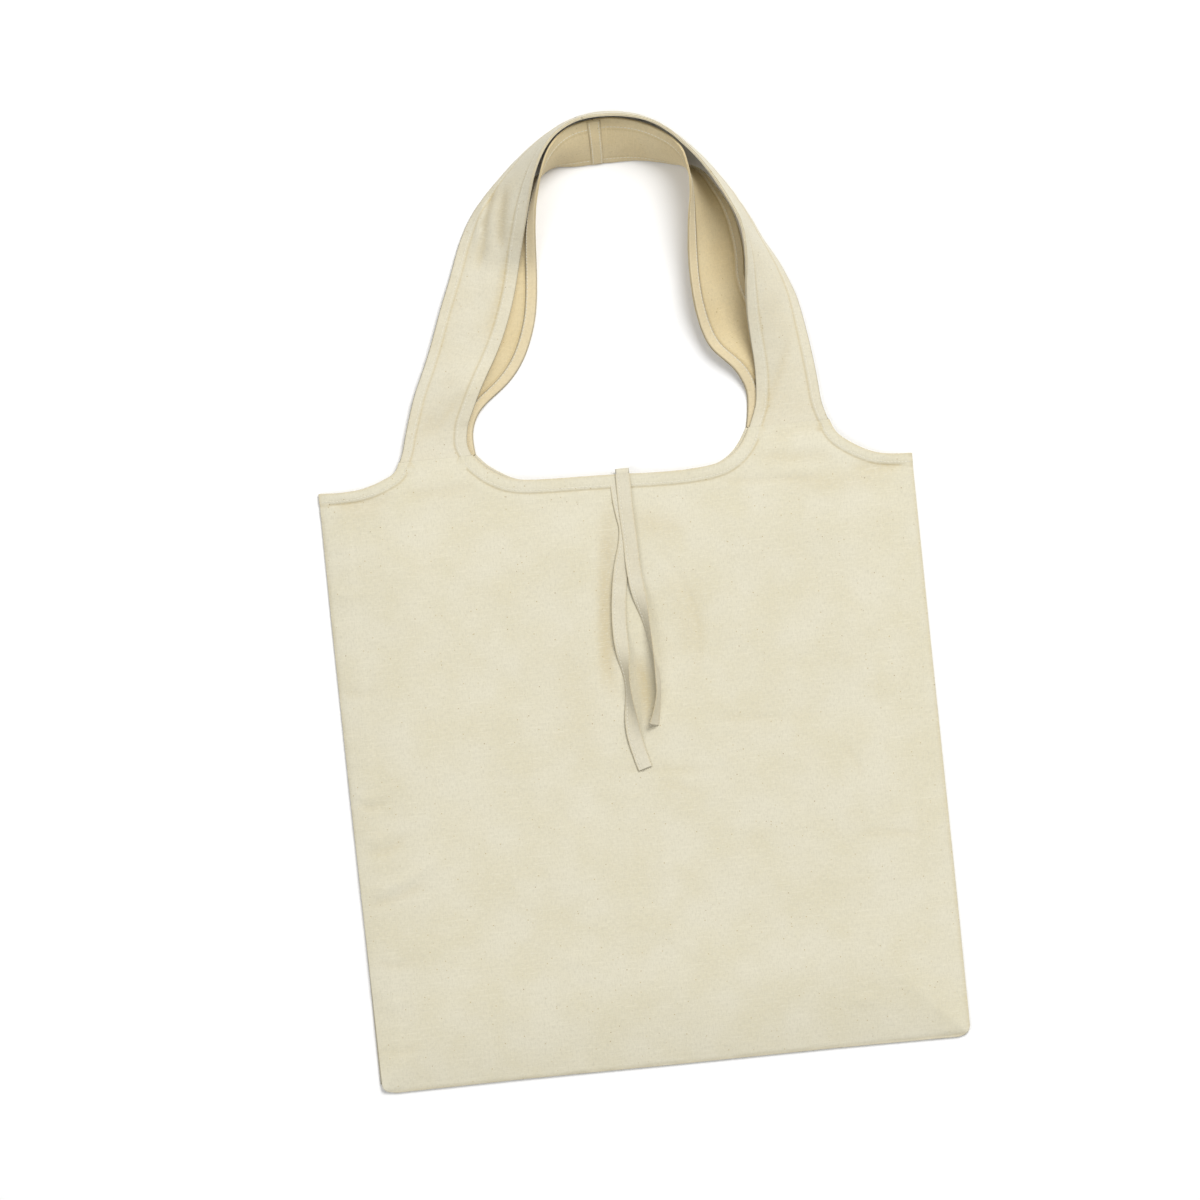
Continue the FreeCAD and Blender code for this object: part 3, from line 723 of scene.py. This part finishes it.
def thread(name, lines):
    """Short rounded stitches along lines of (points, normals)."""
    points, faces = [], []
    for line, normals in lines:
        total = lengths(line)
        for start in np.arange(0.8, total[-1] - STITCH_LENGTH, STITCH_PITCH):
            a, b = (np.array([np.interp(at, total, line[:, k]) for k in range(3)])
                    for at in (start, start + STITCH_LENGTH))
            up = unit(np.array([np.interp(start, total, normals[:, k]) for k in range(3)]))
            side = np.cross(unit(b - a), up)
            add_tube(points, faces, [(a + (b - a) * share, side * radius, up * radius * STITCH_FLATNESS)
                                     for share, radius in STITCH_SHAPE], 6)
    return new_object(name, points, faces, None, THREAD)


def panel_thread_line(line, hem, inward, height, lift):
    """A stitch row along a panel hem, lifted above the cloth's underside."""
    x, y = moved(line, hem - STITCH_IN, inward).T
    return np.stack([x, y, height(x, y) + lift], 1), np.tile([0, 0, 1.0], (len(x), 1))


def ribbon_thread_line(ribbon, rows, away, lift):
    """A stitch row along a strap, away from its inner edge, or from its outer if negative."""
    def columns(width):
        return np.array([width + away if away < 0 else away])
    points, normal, _, _ = ribbon.surface(rows, columns)
    return points[:, 0] + normal[:, 0] * lift, normal[:, 0]


def ribbon_cross_line(ribbon, row, lift):
    """A stitch row across the strap."""
    points, normal, _, _ = ribbon.surface((row, row + 1), lambda w: np.linspace(1.2, w - 1.2, 16))
    return points[0] + normal[0] * lift, normal[0]


# --- ties ---------------------------------------------------------------------
def nurbs(points):
    """The tie's centreline: a NURBS curve of order 3, read back as points."""
    data = bpy.data.curves.new("route", "CURVE")
    data.dimensions = "3D"
    data.resolution_u = 20
    line = data.splines.new("NURBS")
    line.points.add(len(points) - 1)
    for p, place in zip(line.points, points):
        p.co = (*(value * MM for value in place), 1.0)
    line.order_u = 3
    line.use_endpoint_u = True
    obj = bpy.data.objects.new("route", data)
    mesh = bpy.data.meshes.new_from_object(obj)
    found = np.array([v.co[:] for v in mesh.vertices]) / MM
    bpy.data.objects.remove(obj)
    bpy.data.meshes.remove(mesh)
    return found


def tape(name, line, turns, seed):
    """Flat stitched tape along a line; turns is (share of its length, degrees)."""
    along = lengths(line)
    turn_at, turn = zip(*turns)
    turn = np.radians(spline(turn_at, turn, along / along[-1]))
    way = unit(np.gradient(line, along, axis=0))
    side = unit(np.cross(way, [0, 0, 1.0]))
    up = np.cross(side, way)
    across = side * np.cos(turn)[:, None] + up * np.sin(turn)[:, None]
    normal = np.cross(across, way)
    share = np.array([-1, -0.95, -0.85, -0.6, -0.3, 0, 0.3, 0.52, TIE_STITCH, 0.72, 0.85, 0.95, 1.0])
    s = np.repeat(along[:, None], len(share), 1)
    d = np.repeat(share[None] * TIE_WIDTH / 2, len(line), 0)
    free = ease(along / 14)[:, None]
    curl = free * share ** 2 * (0.25 + 0.45 * noise(s, 0, 23, seed))
    wave = free * (0.16 * noise(s, d, 11, seed + 1) + 0.07 * noise(s, d, 4, seed + 2))
    groove = 0.16 * np.exp(-((share - TIE_STITCH) / 0.09) ** 2)
    thick = TIE_THICK / 2 * (1 - 0.4 * share ** 8)
    middle = line[:, None] + across[:, None] * d[..., None] + normal[:, None] * (curl + wave)[..., None]
    top = middle + normal[:, None] * (thick - groove)[..., None]
    under = middle - normal[:, None] * thick[:, None]
    # Painted shade: golden at the tape's edges and where it is turned on edge.
    painted_shade = 0.45 * np.abs(share) ** 12 + 0.12 * np.abs(np.sin(turn))[:, None]
    obj = shell(name, top.reshape(-1, 3), under.reshape(-1, 3), grid_faces(len(line), len(share)),
                np.stack([d.ravel(), s.ravel()], 1), TAPE_COTTON, cut=end_rows(len(line), len(share)),
                painted_shade=painted_shade.ravel())
    row = list(share).index(TIE_STITCH)
    return obj, (top[:, row] + normal * 0.08, normal), (line, across, way, normal)


def frayed_end(name, ends):
    """Loose yarns at the raw end of a tape."""
    line, across, way, normal = (values[-1] for values in ends)
    points, faces = [], []
    for k in range(FRAY_YARNS):
        d = (k / (FRAY_YARNS - 1) - 0.5) * (TIE_WIDTH - 0.5)
        jitter = noise(k * 3.1, 0.5, 1, 9)
        start = line + across * d - way * 0.6 + normal * 0.15 * jitter
        reach = 1.5 + 0.7 * noise(k * 1.7, 2.5, 1, 5)
        lean = across * (0.8 * jitter + 0.5 * d / TIE_WIDTH) - normal * 0.2
        rings = []
        for share in (0.0, 0.5, 1.0):
            radius = 0.17 * (1.1 - share * 0.6)
            rings.append((start + way * reach * share + lean * share ** 2, across * radius, normal * radius))
        add_tube(points, faces, rings, 3)
    return new_object(name, points, faces, np.asarray(points)[:, :2], TAPE_COTTON)


# --- materials ----------------------------------------------------------------
def node(tree, kind, inputs=(), **values):
    """A new node; inputs are (socket name or number, an output to link or a value to set)."""
    made = tree.nodes.new(kind)
    for key, value in values.items():
        setattr(made, key, value)
    for socket, value in inputs:
        if isinstance(value, bpy.types.NodeSocket):
            tree.links.new(value, made.inputs[socket])
        else:
            made.inputs[socket].default_value = value
    return made


def stretched_noise(tree, coords, scale, size, detail=3.0):
    """Noise drawn out along one direction, as yarns are; coordinates in metres."""
    mapping = node(tree, "ShaderNodeMapping", (("Vector", coords), ("Scale", scale)))
    return node(tree, "ShaderNodeTexNoise", (("Vector", mapping.outputs["Vector"]), ("Scale", 1.0 / size),
                                             ("Detail", detail))).outputs["Fac"]


def mix_colour(tree, factor, a, b):
    return node(tree, "ShaderNodeMix", ((0, factor), (6, a), (7, b)), data_type="RGBA").outputs[2]


def ramp(tree, value, low, high, to_high=1.0):
    """0 below low, to_high above high, even between."""
    return node(tree, "ShaderNodeMapRange", (("Value", value), ("From Min", low), ("From Max", high),
                                             ("To Max", to_high))).outputs["Result"]


def calculate(tree, operation, *values):
    return node(tree, "ShaderNodeMath", enumerate(values), operation=operation).outputs["Value"]


def calico(name, colour, deep, flecks=0.75):
    """Unbleached plain-weave cotton: uneven yarns, seed flecks, soft sheen, and golden shade painted where
    the mesh's shade attribute says.
    """
    material = bpy.data.materials.new(name)
    material.use_nodes = True
    tree = material.node_tree
    uv = node(tree, "ShaderNodeUVMap", uv_map="Cloth").outputs["UV"]
    warp = stretched_noise(tree, uv, (1, 0.3, 1), 0.0009)
    weft = stretched_noise(tree, uv, (0.3, 1, 1), 0.0009)
    slub = stretched_noise(tree, uv, (0.08, 1, 1), 0.0013, 1.0)
    mottle = stretched_noise(tree, uv, (1, 1, 1), 0.0020, 2.0)
    tone = stretched_noise(tree, uv, (1, 1, 1), 0.034, 3.0)
    base = mix_colour(tree, ramp(tree, tone, 0.36, 0.64), colour, deep)
    # Painted shade: the mesh attribute mixes the golden shade colour into the cloth.
    painted_shade = node(tree, "ShaderNodeAttribute", attribute_name="PaintedShade")
    base = mix_colour(tree, painted_shade.outputs["Fac"], base, PAINTED_SHADE_GOLD)
    dark = tuple(c * 0.80 for c in colour[:3]) + (1,)
    light = tuple(min(c * 1.10, 1) for c in colour[:3]) + (1,)
    for yarns, low, high, strength, shade in (
            (warp, 0.45, 0.70, 0.42, dark), (weft, 0.50, 0.75, 0.50, light),
            (slub, 0.60, 0.75, 0.35, light), (mottle, 0.55, 0.80, 0.45, dark)):
        base = mix_colour(tree, ramp(tree, yarns, low, high, strength), base, shade)
    for size, radius, gate, fleck in FLECKS:
        cells = node(tree, "ShaderNodeTexVoronoi", (("Vector", uv), ("Scale", 1.0 / size)))
        chance = node(tree, "ShaderNodeSeparateColor", (("Color", cells.outputs["Color"]),))
        spot = ramp(tree, cells.outputs["Distance"], radius, radius * 0.5)
        chosen = ramp(tree, chance.outputs["Red"], gate, gate + 0.25, flecks)
        base = mix_colour(tree, calculate(tree, "MULTIPLY", spot, chosen), base, fleck)
    height = 0.0
    for direction in "XY":
        wave = node(tree, "ShaderNodeTexWave", (("Vector", uv), ("Scale", WEAVE_SCALE), ("Distortion", 0.6)),
                    wave_type="BANDS", bands_direction=direction)
        height = calculate(tree, "MULTIPLY_ADD", wave.outputs["Fac"], 0.5, height)
    for yarns, weight in ((warp, 1.5), (weft, 1.5), (mottle, 1.6)):
        height = calculate(tree, "MULTIPLY_ADD", yarns, weight, height)
    bump = node(tree, "ShaderNodeBump", (("Height", height), ("Strength", 0.33), ("Distance", 0.00012)))
    shader = tree.nodes["Principled BSDF"]
    tree.links.new(base, shader.inputs["Base Color"])
    tree.links.new(bump.outputs["Normal"], shader.inputs["Normal"])
    for socket, value in (("Roughness", 0.92), ("Specular IOR Level", 0.18), ("Sheen Weight", 0.12),
                          ("Sheen Roughness", 0.6)):
        shader.inputs[socket].default_value = value
    return material


def plain(name, colour, roughness):
    material = bpy.data.materials.new(name)
    material.use_nodes = True
    shader = material.node_tree.nodes["Principled BSDF"]
    shader.inputs["Base Color"].default_value = colour
    shader.inputs["Roughness"].default_value = roughness
    shader.inputs["Specular IOR Level"].default_value = 0.15
    return material


# Colour of the golden shade painted in hollows, creases and along edges.
PAINTED_SHADE_GOLD = (0.52, 0.41, 0.20, 1)
# Seed flecks: spacing in metres, radius, how many cells go without, colour
FLECKS = ((0.0034, 0.14, 0.60, (0.42, 0.31, 0.13, 1)), (0.0080, 0.06, 0.45, (0.27, 0.17, 0.07, 1)))
WEAVE_SCALE = 0.05 / 0.00055   # gives a band every 0.55 mm or so
PANEL_COTTON = calico("calico_panel", (0.690, 0.650, 0.513, 1), (0.664, 0.617, 0.460, 1))
STRAP_COTTON = calico("calico_strap", (0.680, 0.638, 0.505, 1), (0.660, 0.605, 0.455, 1))
# Painted shade: the inside face, the same cloth made deeper yellow as in shade between the layers.
SHADED_INSIDE_COTTON = calico("calico_inside_shaded", (0.690, 0.580, 0.360, 1), (0.665, 0.545, 0.320, 1))
HEM_COTTON = calico("calico_hem", (0.690, 0.642, 0.505, 1), (0.670, 0.610, 0.455, 1), 0.5)
# Painted shade: the inside hem, the same cloth made deeper yellow as in shade.
SHADED_INSIDE_HEM_COTTON = calico("calico_inside_hem", (0.700, 0.600, 0.400, 1), (0.680, 0.570, 0.360, 1), 0.5)
TAPE_COTTON = calico("calico_tape", (0.660, 0.618, 0.490, 1), (0.640, 0.585, 0.440, 1), 0.35)
THREAD = plain("white_thread", (0.735, 0.70, 0.585, 1), 0.8)


# --- building the bag ---------------------------------------------------------
def bend(obj, a, b, start_y, end_y):
    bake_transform(obj)


def area_of(obj):
    """Area of one of a closed layer's two faces, in square metres."""
    return sum(p.area for p in obj.data.polygons) / 2


def build_panel(face, outlines, grid, make_cloth, height, outer_face, thread_lift):
    """A body panel: its cloth, its turned hems and their stitches."""
    panel = Panel(outlines, grid)
    cloth = make_cloth(panel)
    pieces, rows = [], []
    for part, line, width, inward in panel.edges:
        hem = turned_hem("%s_%s_hem" % (face, part), line, width, inward, height, outer_face)
        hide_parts(*("%s_%s" % (face, hem_node) for hem_node in HEM_NODES[part]))
        pieces.append(hem)
        rows.append(panel_thread_line(line, width, inward, height, thread_lift))
    pieces.append(thread("%s_hem_thread" % face, rows))
    for piece in pieces:
        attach(piece, "upper_body")
    bend(cloth, *BODY_FOLD)
    area_of(cloth)
    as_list(pieces)
    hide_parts("%s_panel_upper" % face, "%s_panel_lower" % face)


def seam_allowance(name, xs, ys, wobble, thick, flip):
    """An allowance that lies on the back cloth inside a seam."""
    grid = np.stack(np.meshgrid(xs, ys), axis=2).reshape(-1, 2)
    z = CLOTH + SEAM_GAP + wobble * noise(grid[:, 0], grid[:, 1], 12, 8)
    obj = shell(name, np.column_stack([grid, z + thick]), np.column_stack([grid, z]),
                grid_faces(len(ys), len(xs), flip), grid, HEM_COTTON, rings=1)
    return obj


def build_body():
    build_panel("front", (FRONT_NECK, FRONT_ARM_LEFT, FRONT_ARM_RIGHT), GRID, front_panel_cloth,
                front_height, 1, CLOTH + RAISED_THREAD)
    build_panel("back", (BACK_NECK, BACK_ARM_LEFT, BACK_ARM_RIGHT), GRID * 1.8, back_panel_cloth,
                back_height, -1, CLOTH + TURNED + 0.05)
    for name, side in (("left", -1), ("right", 1)):
        xs = side * (HALF_WIDTH - 0.4 - np.array([0.8, 2.5, 6.0, 10.0, 14.0, 17.5]))
        obj = seam_allowance("side_seam_allowance_%s" % name, xs, np.linspace(-316, 66, 96), 0.02, 0.48,
                             side < 0)
        bend(obj, *BODY_FOLD)
        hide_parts("side_seam_upper_%s" % name, "side_seam_lower_%s" % name)
    ys = FOOT_Y + 0.6 + np.array([0.6, 2.5, 6.0, 10.0, 14.0])
    bottom = seam_allowance("bottom_seam_allowance", np.linspace(-180, 180, 91), ys, 0.0, 0.5, False)
    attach(bottom, "lower_body")
    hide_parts("bottom_seam")


def join_rows(ribbon, x_join):
    """The rows either side of the seam at the top of a loop."""
    x, y, _ = ribbon.middle.T
    row = int(np.argmin(np.where(y > LOOP_TOP_Y, np.abs(x - x_join), np.inf)))
    reach = max(int(round(JOIN_WIDTH / 2 / ROW)), 1)
    return row, row - reach, row + reach


def strap_piece(name, ribbon, rows, joint, inside_up, run):
    """One length of strap: cloth, turned hems on its inside face, and thread. Its run, in metres, is not
    used.
    """
    half = CLOTH / 2
    if inside_up:
        # the inside face gets the cloth with painted shade
        cottons, rise = (SHADED_INSIDE_COTTON, SHADED_INSIDE_HEM_COTTON), 0.0
        low, high = half + STRAP_HEM_GAP, half + TURNED
        lifts = high + THREAD_LIFT, -half - THREAD_LIFT
    else:
        cottons, rise = (STRAP_COTTON, HEM_COTTON), HEM_RISE
        low, high = -half - TURNED, -half - STRAP_HEM_GAP
        lifts = half + RAISED_THREAD, low - THREAD_LIFT
    cloth = ribbon_cloth(name, ribbon, rows, cottons[0], rise)
    hems = [ribbon_band("%s_%s_hem" % (name, edge), ribbon, rows, start, end, low, high, cottons[1])
            for edge, start, end in (("inner", 0.25, NECK_HEM - 0.2), ("outer", 0.2 - EDGE_HEM, -0.25))]
    lines = [ribbon_thread_line(ribbon, rows, away, lift)
             for away in (NECK_HEM - STITCH_IN, STITCH_IN - EDGE_HEM) for lift in lifts]
    trim = hems + [thread(name + "_thread", lines)]
    for obj in [cloth] + trim:
        bend(obj, *joint)
    return cloth, hems


def strap_join(face, ribbon, first, last, side):
    """The band and stitches over a loop's top seam, on its upper (1) or lower (-1) face."""
    thick = CLOTH / 2 + 0.25
    low, high = sorted((side * (CLOTH / 2 - 0.05), side * thick))
    name = "%s_strap_join" % face
    # a join on the inside face gets the cloth with painted shade
    join = ribbon_band(name, ribbon, (first, last + 1), 0.5, -0.5, low, high,
                       SHADED_INSIDE_COTTON if side < 0 else HEM_COTTON, False)
    lines = [ribbon_cross_line(ribbon, k, side * (thick + THREAD_LIFT)) for k in (first + 1, last - 1)]
    for obj in (join, thread(name + "_thread", lines)):
        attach(obj, "%s_loop" % face)
    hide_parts(name)


def build_loop(face, ribbon, x_join):
    """A carrying loop: two straps that meet at x_join, the front's each in two lengths."""
    row, first, last = join_rows(ribbon, x_join)
    end = len(ribbon.at)
    inside_up = face == "back"
    if inside_up:
        joint, spans, bases = BACK_LOOP_BEND, {"left": (0, row + 1), "right": (row, end)}, {}
    else:
        base, past = ribbon.split
        joint, spans = FRONT_LOOP_BEND, {"left": (base, row + 1), "right": (row, past + 1)}
        bases = {"left": (0, base + 1), "right": (past, end)}
    for side, rows in spans.items():
        name = "%s_strap_%s" % (face, side)
        if side in bases:
            strap_piece(name + "_base", ribbon, bases[side], FRONT_BASE_BEND, inside_up, STRAP_BASE_RUN)
        run = (ribbon.along[rows[1] - 1] - ribbon.along[rows[0]]) * MM
        cloth, (inner, outer) = strap_piece(name, ribbon, rows, joint, inside_up, run)
        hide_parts(name)
        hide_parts("%s_inner_hem_%s" % (face, side))
        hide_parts("%s_outer_hem_%s" % (face, side))
    strap_join(face, ribbon, first, last, -1 if inside_up else 1)


def build_tie(name, route, turns, joint, seed):
    """One tape, its stitches and its frayed end. Its joint (bodies, start y, end y) is not used."""
    line = nurbs(route)
    cord, stitch, end = tape(name, line, turns, seed)
    pieces = [thread(name + "_thread", [stitch]), frayed_end(name + "_fray", end)]
    for obj in [cord] + pieces:
        bend(obj, *joint)
    lengths(line)[-1] * MM
    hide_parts(name)


def build_ties():
    build_tie("front_tie", FRONT_TIE, FRONT_TURNS, FRONT_TIE_BEND, 21)
    build_tie("back_tie", BACK_TIE, BACK_TURNS, BACK_TIE_BEND, 27)
    x, y, z = BACK_TIE[0]
    root = tape_strip("back_tie_root", ((x, 71.5, 1.75), (x, 76, 1.8), (x, 79.6, 2.8), (x, 80.7, 5.2),
                                        (x, 79.8, 7.5), (x, y, z)))
    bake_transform(root)
    x, y, z = FRONT_TIE[0]
    tack = tape_strip("front_tie_tack", ((x, 76, z - 0.1), (x, 73.5, z), (x, y, z)))
    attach(tack, "upper_body")
    for obj, part in ((root, "back_tie_root"), (tack, "front_tie_tack")):
        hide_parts(part)


def tape_strip(name, centre):
    """Short tape through points in the YZ plane at one x."""
    centre = curve(centre, 0.5)
    way = unit(np.gradient(centre, axis=0))
    normal = np.stack([0 * way[:, 0], -way[:, 2], way[:, 1]], 1)
    d = np.linspace(-TIE_WIDTH / 2, TIE_WIDTH / 2, 9)
    s = np.repeat(lengths(centre)[:, None], len(d), 1)
    points = centre[:, None] + np.array([1.0, 0, 0]) * d[None, :, None]
    thick = normal[:, None] * TIE_THICK / 2 * (1 - 0.4 * (2 * d / TIE_WIDTH) ** 8)[None, :, None]
    return shell(name, (points + thick).reshape(-1, 3), (points - thick).reshape(-1, 3),
                 grid_faces(len(centre), len(d), True), np.stack([np.tile(d, len(centre)), s.ravel()], 1),
                 TAPE_COTTON, cut=end_rows(len(centre), len(d)))


# --- studio -------------------------------------------------------------------
def build_stage():
    bpy.ops.mesh.primitive_plane_add(size=8, location=(0, 0, -0.0005))
    floor = bpy.context.object
    floor.name = "floor"
    floor.data.materials.append(plain("floor_white", (0.93, 0.93, 0.93, 1), 0.9))
    for name, place, size, power in (("key", (1.5, 2.3, 3.8), 2.4, 172),
                                     ("fill", (-2.4, -1.2, 4.0), 3.0, 44)):
        data = bpy.data.lights.new(name, "AREA")
        data.shape, data.size, data.energy = "DISK", size, power
        lamp = bpy.data.objects.new(name, data)
        lamp.location = place
        lamp.rotation_mode = "QUATERNION"
        lamp.rotation_quaternion = (-Vector(place)).to_track_quat("-Z", "Y")
        bpy.context.scene.collection.objects.link(lamp)
    world = bpy.data.worlds.new("studio")
    bpy.context.scene.world = world
    world.use_nodes = True
    world.node_tree.nodes["Background"].inputs["Color"].default_value = (1, 1, 1, 1)
    world.node_tree.nodes["Background"].inputs["Strength"].default_value = 0.42


def build_camera():
    data = bpy.data.cameras.new("camera")
    data.type = "ORTHO"
    data.ortho_scale = 0.8094
    data.clip_start, data.clip_end = 0.1, 20
    camera = bpy.data.objects.new("camera", data)
    camera.location = (-0.0186, -0.0058, 5.0)
    camera.rotation_euler = (0, 0, math.radians(-5.8))
    bpy.context.scene.collection.objects.link(camera)
    bpy.context.scene.camera = camera


build_body()
build_loop("back", Ribbon(BACK_LOOP, BACK_LIFT, lambda x, y: back_height(x, y) + CLOTH / 2, BACK_FOLDS,
                          BACK_CAMBER, 31), 9.0)
build_loop("front", Ribbon(FRONT_LOOP, FRONT_LIFT, lambda x, y: front_height(x, y) + CLOTH / 2, FRONT_FOLDS,
                           FRONT_CAMBER, 35), 2.0)
build_ties()
build_stage()
build_camera()
bpy.context.scene.view_settings.view_transform = "Standard"
